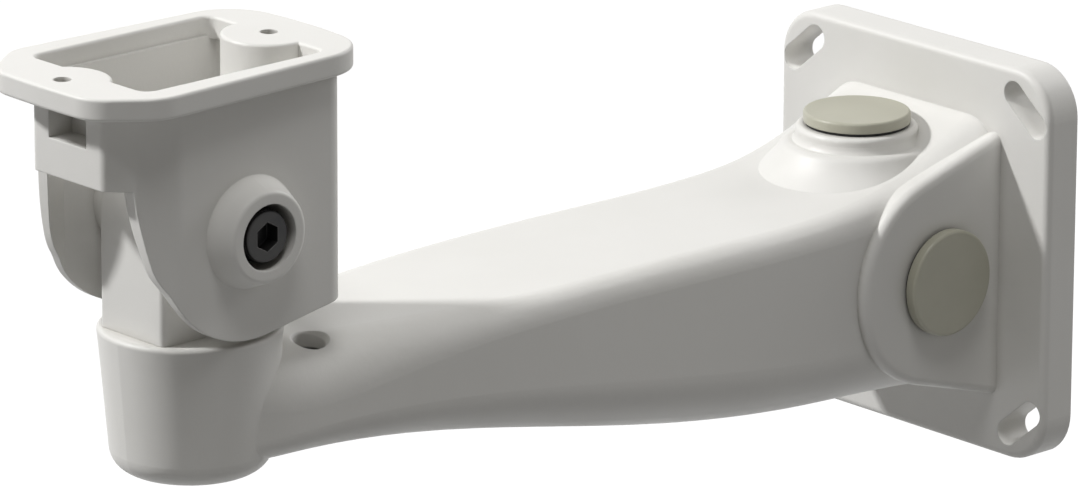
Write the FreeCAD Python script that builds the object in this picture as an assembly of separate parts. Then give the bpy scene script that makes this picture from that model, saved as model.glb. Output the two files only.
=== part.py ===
import FreeCAD, Part
import math
import os

# Wall bracket for a camera housing: a hollow cast arm with its wall plate, a swivel post on the
# arm's front boss, and a tilting cradle clamped to the post by one through screw.
# Origin: centre of the wall plate's back face. +X points out from the wall, +Z is up.
# All sizes in millimetres and degrees.

Vec = FreeCAD.Vector
TOUCH = 0.01

# Wall plate: a shallow dish, open towards the wall
PLATE_WIDTH = 124.0
PLATE_HEIGHT = 132.0
PLATE_DEPTH = 13.0
PLATE_CORNER_R = 16.0
PLATE_EDGE_R = 2.5
PLATE_WEB = 6.0
PLATE_RIM = 6.0
SLOT_FROM_SIDE = 11.0
SLOT_FROM_TOP = 13.0
SLOT_MARGIN = 4.0
SLOT_WIDTH = 8.5
SLOT_LENGTH = 22.0
SLOT_ANGLE = 40.0

# Arm: stations from the wall outwards, each as
# distance from the wall, half width, top, bottom, top edge radius, bottom edge radius
PAN_X = 320.0
ARM_WALL = 5.0
ARM_TOP = 26.5
WEB_BACK = PLATE_DEPTH - PLATE_WEB
ARM_STATIONS = [
    (WEB_BACK, 39.0, 49.0, -46.0, 14.0, 20.0),
    (20.0, 38.5, 43.0, -43.0, 13.0, 20.0),
    (37.0, 38.0, 35.5, -41.5, 11.0, 20.0),
    (60.0, 37.0, 29.0, -40.3, 9.0, 20.0),
    (85.0, 37.0, ARM_TOP, -39.0, 8.0, 20.0),
    (PAN_X - 181.0, 37.0, ARM_TOP, -32.8, 8.0, 20.0),
    (PAN_X - 122.0, 36.5, ARM_TOP, -20.8, 8.0, 17.0),
    (PAN_X - 64.0, 33.0, ARM_TOP, -10.0, 13.0, 12.0),
    (PAN_X - 28.0, 29.5, ARM_TOP, -7.0, 18.0, 9.0),
    (PAN_X, 23.5, ARM_TOP, -7.5, 15.0, 8.0),
]
INNER_RADIUS_SHARE = 0.7
CAVITY_END = PAN_X - 24.0

# Boss at the arm's front end, round the pan axis
BOSS_TOP = 34.0
BOSS_BOTTOM = -12.0
BOSS_R_TOP = 28.5
BOSS_R_BOTTOM = 24.5
BOSS_BOTTOM_EDGE_R = 8.0
BOSS_TOP_EDGE_R = 1.5
BOSS_POCKET_R = 18.0
BOSS_ROOF = 14.0

# Cable outlet on the arm's top, beside the boss
OUTLET_FROM_PAN = 33.0
OUTLET_Y = 16.6
OUTLET_R = 5.0
OUTLET_SINK = 1.2
OUTLET_TILT = 16.0
OUTLET_DROP = 0.7
OUTLET_DEPTH = 14.0

# Cable entries near the wall, closed by screwed plugs
ENTRY_X = 38.5
ENTRY_Z = -1.5
LOBE_R = 36.0
LOBE_FACE_Y = 40.5
LOBE_ROOT_Y = 12.0
LOBE_ROOT_SHRINK = 7.0
LOBE_FLARE = 16.5
LOBE_EDGE_R = 3.0
PAD_TOP = 42.8
PAD_R = 20.0
PAD_EDGE_R = 1.5
PAD_FLANK_R = 3.5
HUMP_TOP = 37.5
HUMP_RINGS = [(24.0, 38.0), (27.5, 33.0), (32.0, 28.0), (HUMP_TOP, 24.0)]
HUMP_EDGE_R = 3.0
PLUG_HEAD_R = 17.5
PLUG_HEAD_HEIGHT = 3.5
PLUG_EDGE_R = 1.0
PLUG_SPIGOT_R = 13.0
PLUG_SPIGOT_LENGTH = 9.0
PLUG_WALL = 2.0
SEAL_HEIGHT = 1.0
SEAL_R = 16.8

# Swivel post
TILT_HEIGHT = 35.0
POST_R = 23.0
POST_THICKNESS = 30.0
POST_EDGE_R = 2.0
POST_SPIGOT_R = 15.0
POST_SPIGOT_LENGTH = 4.0
POST_TAPPED_DEPTH = 24.0

# Cradle
CHEEK_OUTER_Y = 29.0
CRADLE_WALL = 3.2
CRADLE_REAR = 37.3
CRADLE_REAR_CORNER_R = 6.0
CHEEK_FLAT_END = 28.0
CHEEK_NOSE_X = 38.0
CHEEK_NOSE_Y = 24.3
CHEEK_BEND_R = 10.0
CHEEK_FRONT_MIDDLE = 39.8
CHEEK_FRONT_BOTTOM = 34.5
CHEEK_LOW_FRONT_Z = -9.0
CHEEK_BOW = 0.8
CHEEK_SWEEP_R = 33.7
CHEEK_TOE_RUN = 4.0
CHEEK_TOE_R = 19.0
NOSE_UP_LIMIT = 10.0
TONGUE_FRONT = 46.4
TONGUE_HALF_WIDTH = 15.8
TONGUE_CORNER_R = 3.0
TONGUE_BOTTOM = 18.5
TONGUE_WINDOW_HALF = 8.8
TONGUE_WINDOW_BOTTOM = 30.0
TONGUE_WINDOW_DEPTH = 9.0
FLANGE_TOP = 50.0
FLANGE_THICKNESS = 7.0
FLANGE_FRONT = 57.0
FLANGE_REAR = 47.5
FLANGE_REAR_HALF = 32.5
FLANGE_SIDE_END = 39.0
FLANGE_HALF_WIDTH = 36.3
FLANGE_FRONT_HALF = 23.0
FLANGE_CORNER_R = 14.0
FLANGE_REAR_CORNER_R = 18.0
FLANGE_FRONT_BULGE = 0.8
FLANGE_REAR_BULGE = 3.5
FLANGE_EDGE_R = 1.0
OPENING_HALF_WIDTH = 27.0
OPENING_FRONT = 38.5
OPENING_REAR = 31.0
OPENING_CORNER_R = 4.0
OPENING_EDGE_R = 1.0
HOUSING_HOLE_SPACING = 80.0
HOUSING_HOLE_FRONT = 48.0
HOUSING_HOLE_R = 2.75
HOUSING_BOSS_R = 14.8
HOUSING_BOSS_DEPTH = 20.0

# Clamp bosses of the cradle, inside and outside the cheeks
CLAMP_FACE_Y = 37.5
CLAMP_BASE_R = 17.5
CLAMP_TIP_R = 14.0
CLAMP_EDGE_R = 1.5
CLAMP_INNER_R = 16.0
CLAMP_FLOOR_Y = 24.5
FRICTION_WASHER = 1.5
FRICTION_WASHER_R = 16.0

# Fasteners: M10 throughout
THREAD_R = 5.0
SHAFT_CLEARANCE = 0.05
WASHER_R = 10.0
WASHER_BORE_R = 5.25
WASHER_HEIGHT = 2.0
WASHER_POCKET_CLEARANCE = 0.3
SOCKET_HEAD_R = 8.0
SOCKET_HEAD_HEIGHT = 10.0
SOCKET_HEX = 8.0
SOCKET_DEPTH = 5.0
TILT_SCREW_LENGTH = 60.0
SCREW_HEAD_EDGE_R = 0.8
THREAD_CHAMFER = 1.0
NUT_ACROSS_FLATS = 17.0
NUT_HEIGHT = 8.0
NUT_POCKET_CLEARANCE = 0.1
HEX_HEAD_ACROSS_FLATS = 17.0
HEX_HEAD_HEIGHT = 6.4
HEX_CHAMFER = 0.3
PAN_BOLT_LENGTH = 35.0
SPRING_WASHER_R = 9.0
SPRING_WASHER_HEIGHT = 2.2
SPRING_WASHER_GAP = 1.6
SPRING_WASHER_TURN = 20.0

# Places worked out from the sizes above
SLOT_Y = PLATE_WIDTH / 2 - SLOT_FROM_SIDE
SLOT_Z = PLATE_HEIGHT / 2 - SLOT_FROM_TOP
TILT_Z = BOSS_TOP + TILT_HEIGHT
LOBE_ROOT_X = WEB_BACK + 1
POST_HALF = POST_THICKNESS / 2
CLAMP_INNER_Y = POST_HALF + FRICTION_WASHER
FLANGE_BOTTOM = FLANGE_TOP - FLANGE_THICKNESS
BOSS_POCKET_TOP = BOSS_TOP - BOSS_ROOF
REAR_HOLE_X = HOUSING_HOLE_FRONT - HOUSING_HOLE_SPACING
CLAMP_BORE_R = WASHER_R + WASHER_POCKET_CLEARANCE


def arc_through(a, b, c):
    return Part.Arc(a, b, c).toShape()


def cylinder(radius, height, base, axis=Vec(0, 0, 1)):
    return Part.makeCylinder(radius, height, base, axis)


def polygon_face(points):
    return Part.Face(Part.makePolygon(points + [points[0]]))


def hexagon_prism(across_flats, height, base, axis, flat_direction):
    """A hexagonal prism with its flats square to flat_direction."""
    corner_r = across_flats / 2 / math.cos(math.pi / 6)
    side = axis.cross(flat_direction)
    points = []
    for i in range(6):
        a = math.radians(30 + 60 * i)
        points.append(base + flat_direction * (corner_r * math.cos(a)) + side * (corner_r * math.sin(a)))
    return polygon_face(points).extrude(axis * height)


def section_wire(x, half, top, bottom, r_top, r_bottom):
    """A rounded rectangle across the arm, the same eight edges at every station."""
    k = math.sqrt(0.5)
    edges = []
    corners = [
        (half - r_top, top - r_top, r_top, 1, 1),
        (half - r_bottom, bottom + r_bottom, r_bottom, 1, -1),
        (-half + r_bottom, bottom + r_bottom, r_bottom, -1, -1),
        (-half + r_top, top - r_top, r_top, -1, 1),
    ]
    ends = []
    for y, z, r, side, up in corners:
        along_z = Vec(x, y, z + up * r)
        along_y = Vec(x, y + side * r, z)
        middle = Vec(x, y + side * r * k, z + up * r * k)
        first, last = (along_z, along_y) if side * up > 0 else (along_y, along_z)
        ends.append((first, middle, last))
    for i, (first, middle, last) in enumerate(ends):
        edges.append(arc_through(first, middle, last))
        edges.append(Part.makeLine(last, ends[(i + 1) % 4][0]))
    return Part.Wire(edges)


def arm_loft(inset, end_x):
    """The arm's body, shrunk by inset all round and cut off square at end_x."""
    less_r = INNER_RADIUS_SHARE * inset
    wires = []
    for x, half, top, bottom, r_top, r_bottom in ARM_STATIONS:
        wires.append(section_wire(x, half - inset, top - inset, bottom + inset,
                                  r_top - less_r, r_bottom - less_r))
    body = Part.makeLoft(wires, True, False)
    body = body.fuse(Part.Face(wires[0]).extrude(Vec(-ARM_STATIONS[0][0], 0, 0)))
    corner = Vec(0, -PLATE_WIDTH / 2, -PLATE_HEIGHT / 2)
    return body.common(Part.makeBox(end_x, PLATE_WIDTH, PLATE_HEIGHT, corner))


def rounded_plate(width, height, radius, x0, x1):
    wire = section_wire(x0, width / 2, height / 2, -height / 2, radius, radius)
    return Part.Face(wire).extrude(Vec(x1 - x0, 0, 0))


def wall_plate():
    plate = rounded_plate(PLATE_WIDTH, PLATE_HEIGHT, PLATE_CORNER_R, 0, PLATE_DEPTH)
    front_edges = [e for e in plate.Edges if all(abs(v.X - PLATE_DEPTH) < TOUCH for v in e.Vertexes)]
    plate = plate.makeFillet(PLATE_EDGE_R, front_edges)
    recess = rounded_plate(PLATE_WIDTH - 2 * PLATE_RIM, PLATE_HEIGHT - 2 * PLATE_RIM,
                           PLATE_CORNER_R - PLATE_RIM, 0, PLATE_DEPTH - PLATE_WEB)
    outline = recess.copy()
    plate = plate.cut(recess)
    for side in (1, -1):
        for up in (1, -1):
            boss = slot_prism(side, up, SLOT_WIDTH / 2 + SLOT_MARGIN, 0, PLATE_DEPTH - PLATE_WEB)
            slot = slot_prism(side, up, SLOT_WIDTH / 2, -1, PLATE_DEPTH + 1)
            plate = plate.fuse(boss.common(outline)).cut(slot)
    return plate


def slot_prism(side, up, r, x0, x1):
    """A slot of half width r that lies across the plate's diagonal, so the plate can be turned level."""
    a = math.radians(SLOT_ANGLE)
    along = Vec(0, math.cos(a) * side, -math.sin(a) * up)
    across = Vec(1, 0, 0).cross(along)
    centre = Vec(x0, SLOT_Y * side, SLOT_Z * up)
    half_run = (SLOT_LENGTH - SLOT_WIDTH) / 2
    a1 = centre + along * half_run
    a2 = centre - along * half_run
    edges = [
        Part.makeLine(a2 + across * r, a1 + across * r),
        arc_through(a1 + across * r, a1 + along * r, a1 - across * r),
        Part.makeLine(a1 - across * r, a2 - across * r),
        arc_through(a2 - across * r, a2 - along * r, a2 + across * r),
    ]
    return Part.Face(Part.Wire(edges)).extrude(Vec(x1 - x0, 0, 0))


def lobe_outline(radius, flare, place):
    """A D outline round the entry: round in front, its sides running back to the wall plate."""
    a = math.radians(flare)
    tangent_x = ENTRY_X + radius * math.sin(a)
    tangent_v = radius * math.cos(a)
    root_v = tangent_v + (tangent_x - LOBE_ROOT_X) * math.tan(a)
    upper, lower = place(tangent_x, tangent_v), place(tangent_x, -tangent_v)
    root_upper, root_lower = place(LOBE_ROOT_X, root_v), place(LOBE_ROOT_X, -root_v)
    return Part.Wire([
        Part.makeLine(root_upper, upper),
        arc_through(upper, place(ENTRY_X + radius, 0), lower),
        Part.makeLine(lower, root_lower),
        Part.makeLine(root_lower, root_upper),
    ])


def side_lobe():
    """The pad of the side entry, set in towards the arm's core so that its upper edge runs out."""
    root_r = LOBE_R - LOBE_ROOT_SHRINK
    inner = lobe_outline(root_r, LOBE_FLARE, lambda x, v: Vec(x, LOBE_ROOT_Y, ENTRY_Z + v))
    outer = lobe_outline(LOBE_R, LOBE_FLARE, lambda x, v: Vec(x, LOBE_FACE_Y, ENTRY_Z + v))
    lobe = Part.makeLoft([inner, outer], True, True)
    root_x = LOBE_ROOT_X + TOUCH
    rim = [e for e in lobe.Edges
           if all(abs(v.Y - LOBE_FACE_Y) < TOUCH for v in e.Vertexes) and e.BoundBox.XMax > root_x]
    return lobe.makeFillet(LOBE_EDGE_R, rim)


def top_lobe():
    """The hump that carries the top entry, sloping down into the arm's top on three sides."""
    outlines = [lobe_outline(radius, 0, lambda x, v, z=z: Vec(x, v, z)) for z, radius in HUMP_RINGS]
    hump = Part.makeLoft(outlines, True, False)
    rim = [e for e in hump.Edges
           if all(abs(v.Z - HUMP_TOP) < TOUCH for v in e.Vertexes) and e.BoundBox.XMax > LOBE_ROOT_X + TOUCH]
    return hump.makeFillet(HUMP_EDGE_R, rim)


def top_pad():
    """The round pad under the top plug; its foot sweeps out into the hump in a hollow curve."""
    r, z, e, f = PAD_R, PAD_TOP, PAD_EDGE_R, PAD_FLANK_R
    k = math.sqrt(0.5)
    foot_z = HUMP_TOP - 1
    wall_z = HUMP_TOP + f - 1
    edges = [
        Part.makeLine(Vec(0, 0, z), Vec(r - e, 0, z)),
        arc_through(Vec(r - e, 0, z), Vec(r - e + e * k, 0, z - e + e * k), Vec(r, 0, z - e)),
        Part.makeLine(Vec(r, 0, z - e), Vec(r, 0, wall_z)),
        arc_through(Vec(r, 0, wall_z), Vec(r + f - f * k, 0, wall_z - f * k), Vec(r + f, 0, foot_z)),
        Part.makeLine(Vec(r + f, 0, foot_z), Vec(0, 0, foot_z)),
        Part.makeLine(Vec(0, 0, foot_z), Vec(0, 0, z)),
    ]
    pad = Part.Face(Part.Wire(edges)).revolve(Vec(0, 0, 0), Vec(0, 0, 1), 360)
    pad.translate(Vec(ENTRY_X, 0, 0))
    return pad


def front_boss():
    r1, r2, z1, z2 = BOSS_R_BOTTOM, BOSS_R_TOP, BOSS_BOTTOM, BOSS_TOP
    profile = polygon_face([Vec(0, 0, z1), Vec(r1, 0, z1), Vec(r2, 0, z2), Vec(0, 0, z2)])
    boss = profile.revolve(Vec(0, 0, 0), Vec(0, 0, 1), 360)
    low = [e for e in boss.Edges if e.BoundBox.ZMax < z1 + TOUCH and e.BoundBox.XLength > r1]
    boss = boss.makeFillet(BOSS_BOTTOM_EDGE_R, low)
    high = [e for e in boss.Edges if e.BoundBox.ZMin > z2 - TOUCH and e.BoundBox.XLength > r2]
    boss = boss.makeFillet(BOSS_TOP_EDGE_R, high)
    boss.translate(Vec(PAN_X, 0, 0))
    return boss


def cable_outlet():
    """The upright drill, and its countersink square to the arm's rounded shoulder."""
    a = math.radians(OUTLET_TILT)
    axis = Vec(0, math.sin(a), math.cos(a))
    mouth = Vec(PAN_X - OUTLET_FROM_PAN, OUTLET_Y, ARM_TOP - OUTLET_DROP)
    hole = cylinder(OUTLET_R, 2 * OUTLET_DEPTH, mouth - Vec(0, 0, OUTLET_DEPTH))
    sink_height = 3 * OUTLET_SINK
    sink = Part.makeCone(OUTLET_R, OUTLET_R + sink_height, sink_height, mouth - axis * OUTLET_SINK, axis)
    return hole.fuse(sink)


def arm_casting():
    body = arm_loft(0, ARM_STATIONS[-1][0])
    body = body.fuse([wall_plate(), side_lobe(), top_lobe(), top_pad(), front_boss()])
    cavity = arm_loft(ARM_WALL, CAVITY_END)
    body = body.cut(cavity)
    entry_r = PLUG_SPIGOT_R + SHAFT_CLEARANCE
    side_bore = cylinder(entry_r, LOBE_FACE_Y, Vec(ENTRY_X, LOBE_ROOT_Y, ENTRY_Z), Vec(0, 1, 0))
    top_bore = cylinder(entry_r, PAD_TOP, Vec(ENTRY_X, 0, ARM_TOP - 2 * ARM_WALL))
    outlet = cable_outlet()
    pocket = cylinder(BOSS_POCKET_R, BOSS_POCKET_TOP - BOSS_BOTTOM + 1, Vec(PAN_X, 0, BOSS_BOTTOM - 1))
    bolt_hole = cylinder(THREAD_R + SHAFT_CLEARANCE, BOSS_ROOF + 2, Vec(PAN_X, 0, BOSS_POCKET_TOP - 1))
    spigot_seat = cylinder(POST_SPIGOT_R + SHAFT_CLEARANCE, POST_SPIGOT_LENGTH + 1,
                           Vec(PAN_X, 0, BOSS_TOP - POST_SPIGOT_LENGTH))
    return body.cut([side_bore, top_bore, outlet, pocket, bolt_hole, spigot_seat])


def swivel_post():
    z0, z1, r, h = BOSS_TOP, TILT_Z, POST_R, POST_HALF
    left, right = PAN_X - r, PAN_X + r
    edges = [
        Part.makeLine(Vec(left, -h, z0), Vec(right, -h, z0)),
        Part.makeLine(Vec(right, -h, z0), Vec(right, -h, z1)),
        arc_through(Vec(right, -h, z1), Vec(PAN_X, -h, z1 + r), Vec(left, -h, z1)),
        Part.makeLine(Vec(left, -h, z1), Vec(left, -h, z0)),
    ]
    post = Part.Face(Part.Wire(edges)).extrude(Vec(0, POST_THICKNESS, 0))
    rounded = [e for e in post.Edges if e.BoundBox.YLength < TOUCH and e.BoundBox.ZLength > 1]
    post = post.makeFillet(POST_EDGE_R, rounded)
    spigot = cylinder(POST_SPIGOT_R, POST_SPIGOT_LENGTH, Vec(PAN_X, 0, z0 - POST_SPIGOT_LENGTH))
    post = post.fuse(spigot)
    tapped = cylinder(THREAD_R + SHAFT_CLEARANCE, POST_TAPPED_DEPTH, Vec(PAN_X, 0, z0 - POST_SPIGOT_LENGTH))
    tilt_bore = cylinder(THREAD_R + SHAFT_CLEARANCE, POST_THICKNESS + 2, Vec(PAN_X, -h - 1, z1), Vec(0, 1, 0))
    return post.cut([tapped, tilt_bore])


def cradle_plan(inset):
    """Outline seen from above: flat cheeks that turn inwards to the tongue, and a rear wall."""
    points = []
    for side in (-1, 1):
        half = [Vec(-CRADLE_REAR, side * CHEEK_OUTER_Y, 0), Vec(CHEEK_FLAT_END, side * CHEEK_OUTER_Y, 0),
                Vec(CHEEK_NOSE_X, side * CHEEK_NOSE_Y, 0), Vec(TONGUE_FRONT, side * TONGUE_HALF_WIDTH, 0)]
        points += half[::-side]
    outline = Part.makePolygon(points + [points[0]])
    if inset:
        outline = outline.makeOffset2D(-inset, 2)
    return Part.Face(outline)


def upright_edges(solid, test):
    """Vertical edges of a prism whose ground point passes the test."""
    found = []
    for e in solid.Edges:
        b = e.BoundBox
        if b.ZLength > 1 and b.XLength < TOUCH and b.YLength < TOUCH and test(b.XMin, b.YMin):
            found.append(e)
    return found


def is_cheek_bend(x, y):
    at_flat_end = abs(x - CHEEK_FLAT_END) < TOUCH and abs(abs(y) - CHEEK_OUTER_Y) < TOUCH
    at_nose = abs(x - CHEEK_NOSE_X) < TOUCH and abs(abs(y) - CHEEK_NOSE_Y) < TOUCH
    return at_flat_end or at_nose


def cradle_shell():
    low = -CHEEK_SWEEP_R - 2
    outer = cradle_plan(0).extrude(Vec(0, 0, FLANGE_BOTTOM + 1 - low))
    outer = outer.makeFillet(CRADLE_REAR_CORNER_R, upright_edges(outer, lambda x, y: x < 0))
    outer = outer.makeFillet(TONGUE_CORNER_R, upright_edges(outer, lambda x, y: x > TONGUE_FRONT - TOUCH))
    outer = outer.makeFillet(CHEEK_BEND_R, upright_edges(outer, is_cheek_bend))
    outer.translate(Vec(0, 0, low))
    outer = outer.common(side_outline())
    inner = cradle_plan(CRADLE_WALL).extrude(Vec(0, 0, FLANGE_BOTTOM + 2 - low))
    inner = inner.makeFillet(CRADLE_REAR_CORNER_R - CRADLE_WALL, upright_edges(inner, lambda x, y: x < 0))
    inner.translate(Vec(0, 0, low - 1))
    return outer.cut(inner)


def side_outline():
    """The cradle seen from the side, round the tilt axis: the lower edge sweeps past the boss."""
    r = CHEEK_SWEEP_R
    y = CHEEK_OUTER_Y + 1
    tip = math.radians(NOSE_UP_LIMIT)
    touch = Vec(-r * math.sin(tip), -y, -r * math.cos(tip))
    rear_x = -CRADLE_REAR - 1
    rear_low = Vec(rear_x, -y, touch.z + (touch.x - rear_x) * math.tan(tip))
    sweep_end_x = CHEEK_FRONT_BOTTOM - CHEEK_TOE_RUN
    sweep_end = Vec(sweep_end_x, -y, -math.sqrt(r * r - sweep_end_x ** 2))
    half_way = ((touch + sweep_end) * 0.5 + Vec(0, y, 0)).normalize()
    sweep_middle = half_way * r - Vec(0, y, 0)
    low_front = Vec(CHEEK_FRONT_BOTTOM, -y, CHEEK_LOW_FRONT_Z)
    step = Vec(CHEEK_FRONT_MIDDLE, -y, TONGUE_BOTTOM)
    bow = Vec((low_front.x + step.x) / 2 + CHEEK_BOW, -y, (low_front.z + step.z) / 2)
    top = FLANGE_BOTTOM + 1
    far = TONGUE_FRONT + 1
    edges = [
        Part.makeLine(Vec(rear_x, -y, top), rear_low),
        Part.makeLine(rear_low, touch),
        arc_through(touch, sweep_middle, sweep_end),
        Part.makeLine(sweep_end, low_front),
        arc_through(low_front, bow, step),
        Part.makeLine(step, Vec(far, -y, TONGUE_BOTTOM)),
        Part.makeLine(Vec(far, -y, TONGUE_BOTTOM), Vec(far, -y, top)),
        Part.makeLine(Vec(far, -y, top), Vec(rear_x, -y, top)),
    ]
    prism = Part.Face(Part.Wire(edges)).extrude(Vec(0, 2 * y, 0))
    toes = [e for e in prism.Edges if e.BoundBox.YLength > y and e.BoundBox.XLength < TOUCH
            and min(abs(e.BoundBox.XMin - sweep_end_x), abs(e.BoundBox.XMin - CHEEK_FRONT_BOTTOM)) < TOUCH]
    return prism.makeFillet(CHEEK_TOE_R, toes)


def is_front_corner(x, y):
    at_side_end = abs(x - FLANGE_SIDE_END) < TOUCH and abs(abs(y) - FLANGE_HALF_WIDTH) < TOUCH
    return at_side_end or abs(x - FLANGE_FRONT + FLANGE_FRONT_BULGE) < TOUCH


def flange():
    """The top flange: widening forwards, its front corners cut off, its two ends slightly bowed."""
    front, rear = FLANGE_FRONT, -FLANGE_REAR
    x1, x0 = front - FLANGE_FRONT_BULGE, rear + FLANGE_REAR_BULGE
    edges = [
        arc_through(Vec(x1, FLANGE_FRONT_HALF, 0), Vec(front, 0, 0), Vec(x1, -FLANGE_FRONT_HALF, 0)),
        Part.makeLine(Vec(x1, -FLANGE_FRONT_HALF, 0), Vec(FLANGE_SIDE_END, -FLANGE_HALF_WIDTH, 0)),
        Part.makeLine(Vec(FLANGE_SIDE_END, -FLANGE_HALF_WIDTH, 0), Vec(x0, -FLANGE_REAR_HALF, 0)),
        arc_through(Vec(x0, -FLANGE_REAR_HALF, 0), Vec(rear, 0, 0), Vec(x0, FLANGE_REAR_HALF, 0)),
        Part.makeLine(Vec(x0, FLANGE_REAR_HALF, 0), Vec(FLANGE_SIDE_END, FLANGE_HALF_WIDTH, 0)),
        Part.makeLine(Vec(FLANGE_SIDE_END, FLANGE_HALF_WIDTH, 0), Vec(x1, FLANGE_FRONT_HALF, 0)),
    ]
    plate = Part.Face(Part.Wire(edges)).extrude(Vec(0, 0, FLANGE_THICKNESS))
    plate = plate.makeFillet(FLANGE_REAR_CORNER_R, upright_edges(plate, lambda x, y: x < 0))
    plate = plate.makeFillet(FLANGE_CORNER_R, upright_edges(plate, is_front_corner))
    rims = [e for e in plate.Edges if e.BoundBox.ZLength < TOUCH]
    plate = plate.makeFillet(FLANGE_EDGE_R, rims)
    plate.translate(Vec(0, 0, FLANGE_BOTTOM))
    return plate


def flange_opening():
    """The opening seen from above, less the half-round boss round each housing hole."""
    depth = FLANGE_THICKNESS + 2
    box = Part.makeBox(OPENING_FRONT + OPENING_REAR, 2 * OPENING_HALF_WIDTH, depth,
                       Vec(-OPENING_REAR, -OPENING_HALF_WIDTH, FLANGE_BOTTOM - 1))
    box = box.makeFillet(OPENING_CORNER_R, upright_edges(box, lambda x, y: True))
    bosses = []
    for x in (REAR_HOLE_X, HOUSING_HOLE_FRONT):
        bosses.append(cylinder(HOUSING_BOSS_R, depth, Vec(x, 0, FLANGE_BOTTOM - 1)))
    return box.cut(bosses)


def opening_rim(plate):
    """The top edges of the opening, between its two bosses."""
    found = []
    for e in plate.Edges:
        b = e.BoundBox
        level = abs(b.ZMin - FLANGE_TOP) < TOUCH and b.ZLength < TOUCH
        within_x = b.XMin > -OPENING_REAR - TOUCH and b.XMax < OPENING_FRONT + TOUCH
        within_y = max(abs(b.YMin), abs(b.YMax)) < OPENING_HALF_WIDTH + TOUCH
        if level and within_x and within_y:
            found.append(e)
    return found


def clamp_boss(side):
    axis = Vec(0, side, 0)
    stub = Part.makeCone(CLAMP_BASE_R, CLAMP_TIP_R, CLAMP_FACE_Y - CHEEK_OUTER_Y,
                         Vec(0, side * CHEEK_OUTER_Y, 0), axis)
    tip = [e for e in stub.Edges
           if abs(abs(e.BoundBox.YMin) - CLAMP_FACE_Y) < TOUCH and e.BoundBox.YLength < TOUCH]
    stub = stub.makeFillet(CLAMP_EDGE_R, tip)
    inner = cylinder(CLAMP_INNER_R, CHEEK_OUTER_Y - CLAMP_INNER_Y, Vec(0, side * CLAMP_INNER_Y, 0), axis)
    return stub.fuse(inner)


def cradle():
    plate = flange().cut(flange_opening())
    plate = plate.makeFillet(OPENING_EDGE_R, opening_rim(plate))
    body = cradle_shell().fuse(plate)
    inside_wall = cradle_plan(CRADLE_WALL / 2).extrude(Vec(0, 0, FLANGE_BOTTOM + 1))
    window_foot = TONGUE_WINDOW_BOTTOM - CRADLE_WALL
    for x, foot in ((REAR_HOLE_X, FLANGE_TOP - HOUSING_BOSS_DEPTH), (HOUSING_HOLE_FRONT, window_foot)):
        boss = cylinder(HOUSING_BOSS_R, FLANGE_TOP - 1 - foot, Vec(x, 0, foot))
        body = body.fuse(boss.common(inside_wall))
    body = body.fuse([clamp_boss(1), clamp_boss(-1)])
    window_height = FLANGE_BOTTOM - TONGUE_WINDOW_BOTTOM
    window = Part.makeBox(TONGUE_WINDOW_DEPTH + 1, 2 * TONGUE_WINDOW_HALF, window_height,
                          Vec(TONGUE_FRONT - TONGUE_WINDOW_DEPTH, -TONGUE_WINDOW_HALF, TONGUE_WINDOW_BOTTOM))
    cuts = [window]
    for x, depth in ((HOUSING_HOLE_FRONT, FLANGE_THICKNESS), (REAR_HOLE_X, HOUSING_BOSS_DEPTH)):
        cuts.append(cylinder(HOUSING_HOLE_R, depth + 2, Vec(x, 0, FLANGE_TOP - depth - 1)))
    bore = cylinder(THREAD_R + SHAFT_CLEARANCE, 2 * CLAMP_FACE_Y, Vec(0, -CLAMP_FACE_Y, 0), Vec(0, 1, 0))
    seat_depth = CLAMP_FACE_Y - CLAMP_FLOOR_Y + 1
    head_seat = cylinder(CLAMP_BORE_R, seat_depth, Vec(0, CLAMP_FLOOR_Y, 0), Vec(0, 1, 0))
    nut_seat = hexagon_prism(NUT_ACROSS_FLATS + 2 * NUT_POCKET_CLEARANCE, seat_depth,
                             Vec(0, -CLAMP_FLOOR_Y, 0), Vec(0, -1, 0), Vec(1, 0, 0))
    body = body.cut(cuts + [bore, head_seat, nut_seat])
    body.translate(Vec(PAN_X, 0, TILT_Z))
    return body


def ring(outer_r, inner_r, height, base, axis=Vec(0, 0, 1)):
    return cylinder(outer_r, height, base, axis).cut(cylinder(inner_r, height, base, axis))


def tilt_screw():
    head_y = CLAMP_FLOOR_Y + WASHER_HEIGHT
    axis = Vec(0, 1, 0)
    base = Vec(PAN_X, head_y, TILT_Z)
    head = cylinder(SOCKET_HEAD_R, SOCKET_HEAD_HEIGHT, base, axis)
    rim = [e for e in head.Edges if e.BoundBox.YMin > head_y + SOCKET_HEAD_HEIGHT - TOUCH]
    head = head.makeFillet(SCREW_HEAD_EDGE_R, rim)
    shank = cylinder(THREAD_R, TILT_SCREW_LENGTH, Vec(PAN_X, head_y - TILT_SCREW_LENGTH, TILT_Z), axis)
    end = [e for e in shank.Edges if e.BoundBox.YMax < head_y - TILT_SCREW_LENGTH + TOUCH]
    shank = shank.makeChamfer(THREAD_CHAMFER, end)
    socket = hexagon_prism(SOCKET_HEX, SOCKET_DEPTH + 1, base + axis * (SOCKET_HEAD_HEIGHT - SOCKET_DEPTH),
                           axis, Vec(1, 0, 0))
    return head.fuse(shank).cut(socket)


def tilt_screw_washer():
    return ring(WASHER_R, WASHER_BORE_R, WASHER_HEIGHT, Vec(PAN_X, CLAMP_FLOOR_Y, TILT_Z), Vec(0, 1, 0))


def chamfered_hexagon(across_flats, height, base, axis):
    """A nut or bolt head from base along axis, its far corners turned down to a cone."""
    inner_r = across_flats / 2 - HEX_CHAMFER
    trim = Part.makeCone(inner_r + height + HEX_CHAMFER, inner_r, height + HEX_CHAMFER, base, axis)
    return hexagon_prism(across_flats, height, base, axis, Vec(1, 0, 0)).common(trim)


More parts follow.
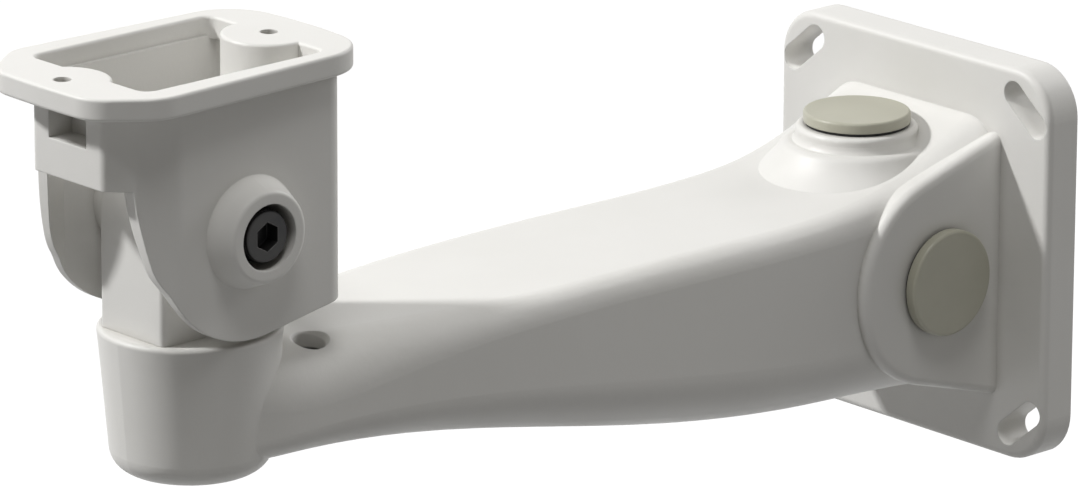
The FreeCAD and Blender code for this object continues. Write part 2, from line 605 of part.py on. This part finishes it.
def tilt_nut():
    axis = Vec(0, -1, 0)
    seat = Vec(PAN_X, -CLAMP_FLOOR_Y, TILT_Z)
    nut = chamfered_hexagon(NUT_ACROSS_FLATS, NUT_HEIGHT, seat, axis)
    return nut.cut(cylinder(THREAD_R + SHAFT_CLEARANCE, NUT_HEIGHT + 2, seat - axis, axis))


def friction_washer(side):
    return ring(FRICTION_WASHER_R, THREAD_R + SHAFT_CLEARANCE, FRICTION_WASHER,
                Vec(PAN_X, side * POST_HALF, TILT_Z), Vec(0, side, 0))


def pan_washer():
    return ring(WASHER_R, WASHER_BORE_R, WASHER_HEIGHT, Vec(PAN_X, 0, BOSS_POCKET_TOP - WASHER_HEIGHT))


def pan_spring_washer():
    """A split ring, flattened as it is when the bolt is tight."""
    top = BOSS_POCKET_TOP - WASHER_HEIGHT
    height = SPRING_WASHER_HEIGHT
    body = ring(SPRING_WASHER_R, WASHER_BORE_R, height, Vec(PAN_X, 0, top - height))
    split = Part.makeBox(SPRING_WASHER_R + 1, SPRING_WASHER_GAP, height + 2,
                         Vec(0, -SPRING_WASHER_GAP / 2, -height - 1))
    split.rotate(Vec(0, 0, 0), Vec(0, 0, 1), SPRING_WASHER_TURN)
    split.translate(Vec(PAN_X, 0, top))
    return body.cut(split)


def pan_bolt():
    head_top = BOSS_POCKET_TOP - WASHER_HEIGHT - SPRING_WASHER_HEIGHT
    base = Vec(PAN_X, 0, head_top)
    head = chamfered_hexagon(HEX_HEAD_ACROSS_FLATS, HEX_HEAD_HEIGHT, base, Vec(0, 0, -1))
    shank = cylinder(THREAD_R, PAN_BOLT_LENGTH, base)
    end = [e for e in shank.Edges if e.BoundBox.ZMin > head_top + PAN_BOLT_LENGTH - TOUCH]
    return head.fuse(shank.makeChamfer(THREAD_CHAMFER, end))


def entry_plug():
    """A screwed plug standing on the plane z = 0 of its seal, spigot down."""
    head = cylinder(PLUG_HEAD_R, PLUG_HEAD_HEIGHT, Vec(0, 0, SEAL_HEIGHT))
    top = SEAL_HEIGHT + PLUG_HEAD_HEIGHT
    head = head.makeFillet(PLUG_EDGE_R, [e for e in head.Edges if e.BoundBox.ZMin > top - TOUCH])
    spigot_end = Vec(0, 0, -PLUG_SPIGOT_LENGTH)
    spigot = cylinder(PLUG_SPIGOT_R, PLUG_SPIGOT_LENGTH + SEAL_HEIGHT, spigot_end)
    bore = cylinder(PLUG_SPIGOT_R - PLUG_WALL, PLUG_SPIGOT_LENGTH + SEAL_HEIGHT, spigot_end)
    return head.fuse(spigot).cut(bore)


def entry_seal():
    return ring(SEAL_R, PLUG_SPIGOT_R + SHAFT_CLEARANCE, SEAL_HEIGHT, Vec(0, 0, 0))


def on_top_pad(shape):
    shape.translate(Vec(ENTRY_X, 0, PAD_TOP))
    return shape


def on_side_lobe(shape):
    shape.rotate(Vec(0, 0, 0), Vec(1, 0, 0), -90)
    shape.translate(Vec(ENTRY_X, LOBE_FACE_Y, ENTRY_Z))
    return shape


def write_step(name, shape):
    shape = shape.removeSplitter()
    shape.exportStep("parts/" + name + ".step")
    print(name, "solids", len(shape.Solids), "valid", shape.isValid(), "cm3", round(shape.Volume / 1000, 2))


os.makedirs("parts", exist_ok=True)
write_step("arm_casting", arm_casting())
write_step("swivel_post", swivel_post())
write_step("cradle", cradle())
write_step("tilt_screw", tilt_screw())
write_step("tilt_screw_washer", tilt_screw_washer())
write_step("tilt_nut", tilt_nut())
write_step("friction_washer_near", friction_washer(1))
write_step("friction_washer_far", friction_washer(-1))
write_step("pan_bolt", pan_bolt())
write_step("pan_washer", pan_washer())
write_step("pan_spring_washer", pan_spring_washer())
write_step("top_entry_plug", on_top_pad(entry_plug()))
write_step("top_entry_seal", on_top_pad(entry_seal()))
write_step("side_entry_plug", on_side_lobe(entry_plug()))
write_step("side_entry_seal", on_side_lobe(entry_seal()))
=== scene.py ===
import math

import bmesh
import bpy
from mathutils import Matrix, Vector


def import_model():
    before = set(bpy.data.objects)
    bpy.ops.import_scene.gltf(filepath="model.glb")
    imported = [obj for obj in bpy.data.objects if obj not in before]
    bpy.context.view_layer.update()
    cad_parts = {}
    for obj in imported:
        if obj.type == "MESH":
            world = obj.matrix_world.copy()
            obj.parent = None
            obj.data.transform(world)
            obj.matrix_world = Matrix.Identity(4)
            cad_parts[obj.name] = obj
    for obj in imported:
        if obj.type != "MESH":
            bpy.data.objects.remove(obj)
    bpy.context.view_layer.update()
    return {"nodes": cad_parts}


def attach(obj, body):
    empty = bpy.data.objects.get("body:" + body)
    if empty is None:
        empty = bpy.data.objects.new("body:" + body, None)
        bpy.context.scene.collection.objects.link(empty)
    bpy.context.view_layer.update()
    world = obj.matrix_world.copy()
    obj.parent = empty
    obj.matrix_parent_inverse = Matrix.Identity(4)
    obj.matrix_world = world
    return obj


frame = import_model()
nodes = frame["nodes"]

MM = 0.001

# Camera: a long lens from above the bracket's front corner
AIM = Vector((0.214, 0.0, 0.034))
CAMERA_DISTANCE = 2.4842
CAMERA_ELEVATION = math.radians(16.9857)
CAMERA_TURN = math.radians(41.6515)
LENS = 266.67
FRAME_RIGHT = 0.0272
FRAME_UP = 0.00284

# Lighting, as shares of the level at which a colour renders as written
WORLD_LEVEL = 0.13
WORLD_TONE = (1.0, 0.965, 0.9)
KEY_LEVEL = 0.81
KEY_TOWARDS = Vector((0.58, -0.5, 0.64)).normalized()
KEY_SIZE = 0.3
TOP_LEVEL = 0.27
TOP_TOWARDS = Vector((0.2, 0.28, 0.94)).normalized()
TOP_SIZE = 1.1
BACK_LEVEL = 0.3
BACK_TOWARDS = Vector((-0.88, 0.12, 0.45)).normalized()
BACK_SIZE = 1.4
LAMP_DISTANCE = 3.0
FLOOR_HEIGHT = -0.40
FLOOR_GREY = 0.28
FLOOR_GLOW = 0.86

# Tilt screw: axis along Y, head sunk in the near clamp boss
SCREW_X = 320 * MM
SCREW_Z = 69 * MM
SCREW_HEAD_START = 26.5 * MM
SCREW_HEAD_HEIGHT = 10 * MM
SCREW_HEAD_RADIUS = 8 * MM
KNURL_TEETH = 60
KNURL_DEPTH = 0.28 * MM
KNURL_CLEARANCE = 0.02 * MM
KNURL_FROM_END = 1.3 * MM
KNURL_RUN_OUT = 0.3 * MM
KNURL_RUN_OUT_SHARE = 0.955
KNURL_RIDGE_BEVEL = 0.05 * MM

# Back of the wall plate, places as (y, z) in millimetres
PLATE_WEB_BACK = 7 * MM
EJECTOR_RADIUS = 3.2 * MM
EJECTOR_HEIGHT = 0.25 * MM
EJECTOR_BORDER = 0.5 * MM
EJECTOR_GROOVE = 0.15 * MM
EJECTOR_SIDES = 32
EJECTOR_PLACES = ((46, 16), (46, -20), (-46, 16), (-46, -20))

# Skins: shares of painted shade in corners and of painted highlight on edges, and how they are found
CORNER_SHADE_SHARE = 0.6
EDGE_HIGHLIGHT_SHARE = 0.6
RELIEF_STRENGTH = 0.15
MASK_SAMPLES = 6
CORNER_REACH = 6 * MM


def new_material(name):
    material = bpy.data.materials.new(name)
    material.use_nodes = True
    tree = material.node_tree
    return material, tree, tree.nodes["Principled BSDF"]


def add(tree, kind, **values):
    node = tree.nodes.new(kind)
    for key, value in values.items():
        setattr(node, key, value)
    return node


def map_range(tree, value, low, high, to_low, to_high):
    node = add(tree, "ShaderNodeMapRange")
    tree.links.new(value, node.inputs["Value"])
    for name, number in (("From Min", low), ("From Max", high), ("To Min", to_low), ("To Max", to_high)):
        node.inputs[name].default_value = number
    return node.outputs["Result"]


def mix_colours(tree, factor, first, second):
    node = add(tree, "ShaderNodeMix", data_type="RGBA")
    tree.links.new(factor, node.inputs["Factor"])
    for socket, colour in ((node.inputs["A"], first), (node.inputs["B"], second)):
        if isinstance(colour, tuple):
            socket.default_value = colour + (1.0,)
        else:
            tree.links.new(colour, socket)
    return node.outputs["Result"]


def new_group(name, inputs, outputs):
    """A shader node group; inputs are (name, default) numbers, outputs are (name, socket type)."""
    group = bpy.data.node_groups.new(name, "ShaderNodeTree")
    for label, value in inputs:
        socket = group.interface.new_socket(label, in_out="INPUT", socket_type="NodeSocketFloat")
        socket.default_value = value
    for label, kind in outputs:
        group.interface.new_socket(label, in_out="OUTPUT", socket_type=kind)
    given = group.nodes.new("NodeGroupInput").outputs
    return group, given, group.nodes.new("NodeGroupOutput").inputs


def use_group(tree, group, **values):
    node = add(tree, "ShaderNodeGroup", node_tree=group)
    for key, value in values.items():
        node.inputs[key.replace("_", " ").capitalize()].default_value = value
    return node.outputs


def times(tree, first, second):
    node = add(tree, "ShaderNodeMath", operation="MULTIPLY")
    for socket, value in zip(node.inputs, (first, second)):
        if isinstance(value, float):
            socket.default_value = value
        else:
            tree.links.new(value, socket)
    return node.outputs[0]


def plus(tree, first, second):
    node = add(tree, "ShaderNodeMath", operation="ADD")
    tree.links.new(first, node.inputs[0])
    tree.links.new(second, node.inputs[1])
    return node.outputs[0]


def surface_grain():
    """Slow drift of tone, fine pits and orange peel of a painted or moulded skin."""
    group, given, result = new_group(
        "surface_grain",
        (("Drift scale", 30.0), ("Peel scale", 900.0), ("Speck scale", 2200.0), ("Speck share", 0.3)),
        (("Drift", "NodeSocketFloat"), ("Height", "NodeSocketFloat")))
    position = add(group, "ShaderNodeTexCoord").outputs["Object"]
    drift = add(group, "ShaderNodeTexNoise")
    peel = add(group, "ShaderNodeTexNoise")
    specks = add(group, "ShaderNodeTexVoronoi")
    for texture, label in ((drift, "Drift scale"), (peel, "Peel scale"), (specks, "Speck scale")):
        group.links.new(position, texture.inputs["Vector"])
        group.links.new(given[label], texture.inputs["Scale"])
    drift.inputs["Detail"].default_value = 4
    peel.inputs["Detail"].default_value = 2
    group.links.new(map_range(group, drift.outputs["Fac"], 0.33, 0.67, 0.0, 1.0), result["Drift"])
    pit = map_range(group, specks.outputs["Distance"], 0.1, 0.5, -1.0, 0.0)
    pits = times(group, pit, given["Speck share"])
    group.links.new(plus(group, peel.outputs["Fac"], pits), result["Height"])
    return group


def edge_and_corner():
    """Edge is 1 on outside edges, Corner is 1 deep in inside corners, Soft is a rounded normal."""
    group, given, result = new_group(
        "edge_and_corner",
        (("Edge width", 0.8 * MM), ("Corner reach", CORNER_REACH)),
        (("Edge", "NodeSocketFloat"), ("Corner", "NodeSocketFloat"), ("Soft", "NodeSocketVector")))
    soft = add(group, "ShaderNodeBevel", samples=MASK_SAMPLES)
    group.links.new(given["Edge width"], soft.inputs["Radius"])
    flat = add(group, "ShaderNodeNewGeometry")
    turn = add(group, "ShaderNodeVectorMath", operation="DOT_PRODUCT")
    group.links.new(soft.outputs["Normal"], turn.inputs[0])
    group.links.new(flat.outputs["Normal"], turn.inputs[1])
    bent = map_range(group, turn.outputs["Value"], 0.995, 0.9, 0.0, 1.0)
    shade = add(group, "ShaderNodeAmbientOcclusion", samples=MASK_SAMPLES, only_local=False)
    group.links.new(given["Corner reach"], shade.inputs["Distance"])
    corner = map_range(group, shade.outputs["AO"], 0.35, 0.8, 1.0, 0.0)
    group.links.new(corner, result["Corner"])
    open_side = map_range(group, corner, 0.0, 0.3, 1.0, 0.0)
    group.links.new(times(group, bent, open_side), result["Edge"])
    group.links.new(soft.outputs["Normal"], result["Soft"])
    return group


grain = surface_grain()
edges = edge_and_corner()


def raised(tree, shader, height, soft, distance):
    bump = add(tree, "ShaderNodeBump")
    bump.inputs["Strength"].default_value = RELIEF_STRENGTH
    bump.inputs["Distance"].default_value = distance
    tree.links.new(height, bump.inputs["Height"])
    tree.links.new(soft, bump.inputs["Normal"])
    tree.links.new(bump.outputs["Normal"], shader.inputs["Normal"])


def skin(name, light, dark, edge_highlight, corner_shade, roughness, metallic, drift, peel, relief, edge):
    """A painted, moulded or plated surface: tone drift, painted shade in inside corners, painted
    highlight on outside edges, fine relief.

    light and dark are the ends of the tone drift; drift and peel are noise scales; relief and edge
    are the height of the relief and the width of the painted edge highlight.
    """
    material, tree, shader = new_material(name)
    marks = use_group(tree, grain, drift_scale=drift, peel_scale=peel)
    places = use_group(tree, edges, edge_width=edge)
    tone = mix_colours(tree, marks["Drift"], dark, light)
    # painted shade: the tone darkens towards the corner colour in inside corners found by ambient
    # occlusion
    tone = mix_colours(tree, times(tree, places["Corner"], CORNER_SHADE_SHARE), tone, corner_shade)
    # painted highlight: the tone lightens towards the edge colour on outside edges found by the bevel
    # normal
    tone = mix_colours(tree, times(tree, places["Edge"], EDGE_HIGHLIGHT_SHARE), tone, edge_highlight)
    tree.links.new(tone, shader.inputs["Base Color"])
    low, high = roughness
    rough = map_range(tree, marks["Drift"], 0.0, 1.0, low, high)
    tree.links.new(rough, shader.inputs["Roughness"])
    shader.inputs["Metallic"].default_value = metallic
    raised(tree, shader, marks["Height"], places["Soft"], relief)
    return material


def dress(material, *names):
    for name in names:
        for material_slot in nodes[name].material_slots:
            material_slot.material = material


# In each skin the colour for inside corners is painted shade and the colour for outside edges is a
# painted highlight.
coat = skin("powder_coat", light=(0.822, 0.813, 0.787), dark=(0.797, 0.788, 0.758),
            edge_highlight=(0.86, 0.852, 0.83), corner_shade=(0.36, 0.345, 0.31), roughness=(0.42, 0.52),
            metallic=0.0, drift=30.0, peel=900.0, relief=0.15 * MM, edge=0.6 * MM)
blackened = skin("black_steel", light=(0.035, 0.034, 0.033), dark=(0.02, 0.02, 0.021),
                 edge_highlight=(0.16, 0.155, 0.15), corner_shade=(0.01, 0.01, 0.01), roughness=(0.34, 0.5),
                 metallic=0.6, drift=120.0, peel=3000.0, relief=0.04 * MM, edge=0.3 * MM)
plastic = skin("plug_plastic", light=(0.505, 0.495, 0.405), dark=(0.47, 0.46, 0.37),
               edge_highlight=(0.58, 0.57, 0.49), corner_shade=(0.26, 0.25, 0.20), roughness=(0.34, 0.44),
               metallic=0.0, drift=60.0, peel=1500.0, relief=0.08 * MM, edge=0.5 * MM)
rubber = skin("seal_rubber", light=(0.028, 0.027, 0.026), dark=(0.018, 0.018, 0.018),
              edge_highlight=(0.06, 0.06, 0.058), corner_shade=(0.012, 0.012, 0.012), roughness=(0.6, 0.75),
              metallic=0.0, drift=90.0, peel=2500.0, relief=0.08 * MM, edge=0.3 * MM)
zinc = skin("zinc_steel", light=(0.62, 0.62, 0.60), dark=(0.50, 0.51, 0.50),
            edge_highlight=(0.75, 0.75, 0.74), corner_shade=(0.22, 0.21, 0.19), roughness=(0.26, 0.42),
            metallic=1.0, drift=150.0, peel=2600.0, relief=0.05 * MM, edge=0.3 * MM)
nylon = skin("friction_nylon", light=(0.24, 0.24, 0.235), dark=(0.19, 0.19, 0.185),
             edge_highlight=(0.30, 0.30, 0.29), corner_shade=(0.10, 0.10, 0.10), roughness=(0.4, 0.5),
             metallic=0.0, drift=80.0, peel=1800.0, relief=0.05 * MM, edge=0.3 * MM)

dress(coat, "arm_casting", "swivel_post", "cradle")
dress(blackened, "tilt_screw", "tilt_screw_washer")
dress(plastic, "top_entry_plug", "side_entry_plug")
dress(rubber, "top_entry_seal", "side_entry_seal")
dress(zinc, "tilt_nut", "pan_bolt", "pan_washer", "pan_spring_washer")
dress(nylon, "friction_washer_near", "friction_washer_far")


def piece(name, bm, material, body):
    bmesh.ops.recalc_face_normals(bm, faces=bm.faces)
    mesh = bpy.data.meshes.new(name)
    bm.to_mesh(mesh)
    bm.free()
    mesh.materials.append(material)
    item = bpy.data.objects.new(name, mesh)
    bpy.context.scene.collection.objects.link(item)
    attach(item, body)
    return item


def loop_extrude(bm, loop, shift=(0, 0, 0), factor=1.0):
    """Extrude a closed loop of edges, then move and scale the new loop about the Z axis."""
    new = bmesh.ops.extrude_edge_only(bm, edges=loop)["geom"]
    verts = [g for g in new if isinstance(g, bmesh.types.BMVert)]
    bmesh.ops.translate(bm, verts=verts, vec=shift)
    bmesh.ops.scale(bm, verts=verts, vec=(factor, factor, 1))
    return [g for g in new if isinstance(g, bmesh.types.BMEdge)
            and all(v in verts for v in g.verts)]


def screw_knurl():
    """The knurled ring of the socket head, a close sleeve round the plain head."""
    bm = bmesh.new()
    teeth = 2 * KNURL_TEETH
    ridge_radius = SCREW_HEAD_RADIUS + KNURL_DEPTH
    bmesh.ops.create_circle(bm, cap_ends=False, radius=ridge_radius, segments=teeth)
    valley = (SCREW_HEAD_RADIUS + KNURL_CLEARANCE) / ridge_radius
    bmesh.ops.scale(bm, verts=list(bm.verts)[::2], vec=(valley, valley, 1))
    low = list(bm.edges)
    high = loop_extrude(bm, low, shift=(0, 0, SCREW_HEAD_HEIGHT - 2 * KNURL_FROM_END))
    ridges = [e for e in bm.edges if abs(e.verts[0].co.z - e.verts[1].co.z) > KNURL_RUN_OUT]
    top = loop_extrude(bm, high, shift=(0, 0, KNURL_RUN_OUT), factor=KNURL_RUN_OUT_SHARE)
    bottom = loop_extrude(bm, low, shift=(0, 0, -KNURL_RUN_OUT), factor=KNURL_RUN_OUT_SHARE)
    bmesh.ops.bridge_loops(bm, edges=top + bottom)
    bmesh.ops.bevel(bm, geom=ridges, offset=KNURL_RIDGE_BEVEL, segments=1, profile=0.5,
                    affect="EDGES", material=-1)
    bmesh.ops.translate(bm, verts=bm.verts, vec=(0, 0, KNURL_FROM_END))
    turn = Matrix.Translation((SCREW_X, SCREW_HEAD_START, SCREW_Z)) @ \
        Matrix.Rotation(-math.pi / 2, 4, "X")
    bmesh.ops.transform(bm, matrix=turn, verts=bm.verts)
    piece("screw_knurl", bm, blackened, "head")


def ejector_marks():
    """Shallow ringed discs left by the ejector pins on the hidden back of the plate's web."""
    bm = bmesh.new()
    for y, z in EJECTOR_PLACES:
        made = bmesh.ops.create_circle(bm, cap_ends=True, radius=EJECTOR_RADIUS,
                                       segments=EJECTOR_SIDES)
        verts = made["verts"]
        turn = Matrix.Translation((PLATE_WEB_BACK, y * MM, z * MM)) @ \
            Matrix.Rotation(-math.pi / 2, 4, "Y")
        bmesh.ops.transform(bm, matrix=turn, verts=verts)
        disc = verts[0].link_faces[0]
        wall = bmesh.ops.extrude_face_region(bm, geom=[disc])["geom"]
        lifted = [g for g in wall if isinstance(g, bmesh.types.BMVert)]
        bmesh.ops.translate(bm, verts=lifted, vec=(-EJECTOR_HEIGHT, 0, 0))
        cap = next(g for g in wall if isinstance(g, bmesh.types.BMFace))
        bmesh.ops.inset_region(bm, faces=[cap], thickness=EJECTOR_BORDER)
        bmesh.ops.inset_region(bm, faces=[cap], thickness=EJECTOR_GROOVE, depth=-EJECTOR_GROOVE)
    piece("ejector_marks", bm, coat, "arm")


screw_knurl()
ejector_marks()


def camera():
    e, turn = CAMERA_ELEVATION, CAMERA_TURN
    right = Vector((-math.cos(turn), math.sin(turn), 0))
    level = Vector((-math.sin(turn), -math.cos(turn), 0))
    forward = math.cos(e) * level - Vector((0, 0, math.sin(e)))
    up = math.sin(e) * level + Vector((0, 0, math.cos(e)))
    place = AIM - CAMERA_DISTANCE * forward
    view = (CAMERA_DISTANCE * forward + FRAME_RIGHT * right + FRAME_UP * up).normalized()
    across = view.cross(up).normalized()
    turned = Matrix((across, across.cross(view), -view)).transposed().to_4x4()
    data = bpy.data.cameras.new("camera")
    data.sensor_width = 36
    data.lens = LENS
    data.clip_end = 100
    item = bpy.data.objects.new("camera", data)
    item.matrix_world = Matrix.Translation(place) @ turned
    bpy.context.scene.collection.objects.link(item)
    bpy.context.scene.camera = item


def lamp(name, level, towards, size):
    """A round soft box that gives level on a face square to it."""
    data = bpy.data.lights.new(name, "AREA")
    data.shape = "DISK"
    data.size = size
    data.energy = level * (math.pi * LAMP_DISTANCE) ** 2
    item = bpy.data.objects.new(name, data)
    item.matrix_world = Matrix.Translation(AIM + towards * LAMP_DISTANCE) @ \
        towards.to_track_quat("Z", "Y").to_matrix().to_4x4()
    bpy.context.scene.collection.objects.link(item)


def seen_directly(tree):
    path = add(tree, "ShaderNodeLightPath")
    first = add(tree, "ShaderNodeMath", operation="MAXIMUM")
    tree.links.new(path.outputs["Is Camera Ray"], first.inputs[0])
    tree.links.new(path.outputs["Is Glossy Ray"], first.inputs[1])
    both = add(tree, "ShaderNodeMath", operation="MAXIMUM")
    tree.links.new(first.outputs[0], both.inputs[0])
    tree.links.new(path.outputs["Is Transmission Ray"], both.inputs[1])
    return both.outputs[0]


def world():
    item = bpy.data.worlds.new("studio")
    item.use_nodes = True
    tree = item.node_tree
    background = tree.nodes["Background"]
    direct = seen_directly(tree)
    strength = map_range(tree, direct, 0, 1, WORLD_LEVEL, 1.0)
    tree.links.new(strength, background.inputs["Strength"])
    tree.links.new(mix_colours(tree, direct, WORLD_TONE, (1.0, 1.0, 1.0)), background.inputs["Color"])
    bpy.context.scene.world = item


def floor():
    bpy.ops.mesh.primitive_plane_add(size=60, location=(0, 0, FLOOR_HEIGHT))
    item = bpy.context.object
    item.name = "floor"
    material, tree, shader = new_material("floor")
    shader.inputs["Base Color"].default_value = (FLOOR_GREY, FLOOR_GREY, FLOOR_GREY, 1)
    shader.inputs["Roughness"].default_value = 0.9
    shader.inputs["Specular IOR Level"].default_value = 0.0
    shader.inputs["Emission Color"].default_value = (1, 1, 1, 1)
    glow = map_range(tree, seen_directly(tree), 0, 1, 0, FLOOR_GLOW)
    tree.links.new(glow, shader.inputs["Emission Strength"])
    item.data.materials.append(material)


camera()
lamp("key", KEY_LEVEL, KEY_TOWARDS, KEY_SIZE)
lamp("top", TOP_LEVEL, TOP_TOWARDS, TOP_SIZE)
lamp("back", BACK_LEVEL, BACK_TOWARDS, BACK_SIZE)
world()
floor()
bpy.context.scene.view_settings.view_transform = "Standard"
